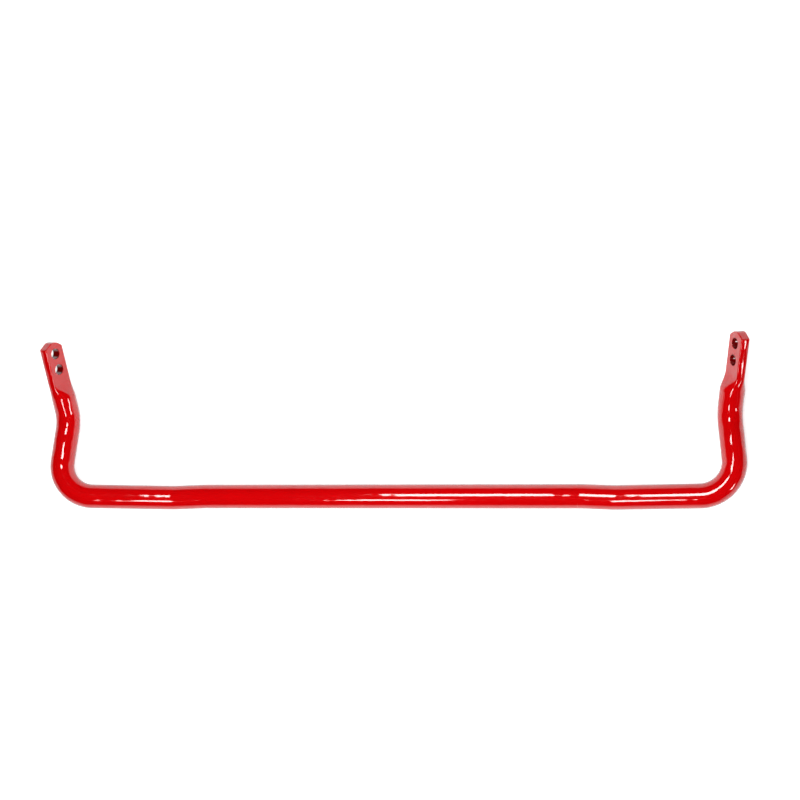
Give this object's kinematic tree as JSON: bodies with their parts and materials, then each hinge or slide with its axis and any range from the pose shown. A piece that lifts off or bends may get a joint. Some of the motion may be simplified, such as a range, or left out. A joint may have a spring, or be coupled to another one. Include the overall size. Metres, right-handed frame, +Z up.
{
  "type": "sway bar",
  "caption": "Tubular front sway bar: a wide U of round red-painted tube whose bent arms end in flattened, drilled link paddles.",
  "frame": {"origin": "on the surface that the bar lies on, under the middle of its box", "axes": "+X along the bar to the picture's right, +Y from the torsion tube towards the arm ends, +Z up from the surface that it lies on"},
  "size_m": [0.826, 0.205, 0.0562],
  "materials": {
    "red_powder_coat": "glossy bright red powder coat with a slight orange-peel waviness"
  },
  "bodies": {
    "torsion_tube": {"torsion_tube": "red_powder_coat"},
    "left_arm": {"left_arm": "red_powder_coat", "left_end_paddle": "red_powder_coat"},
    "right_arm": {"right_arm": "red_powder_coat", "right_end_paddle": "red_powder_coat"}
  },
  "joints": [
    {"name": "left_arm_twist", "type": "hinge", "parent": "torsion_tube", "child": "left_arm", "pos_m": [0, -0.08718, 0.0143], "axis": [1, 0, 0], "range_deg": [-12, 12], "stiffness_Nm_per_rad": 11500},
    {"name": "right_arm_twist", "type": "hinge", "parent": "torsion_tube", "child": "right_arm", "pos_m": [0, -0.08718, 0.0143], "axis": [1, 0, 0], "range_deg": [-12, 12], "stiffness_Nm_per_rad": 11500}
  ],
  "couplings": [
    {"joint": "right_arm_twist", "follows": "left_arm_twist", "ratio": -1}
  ]
}
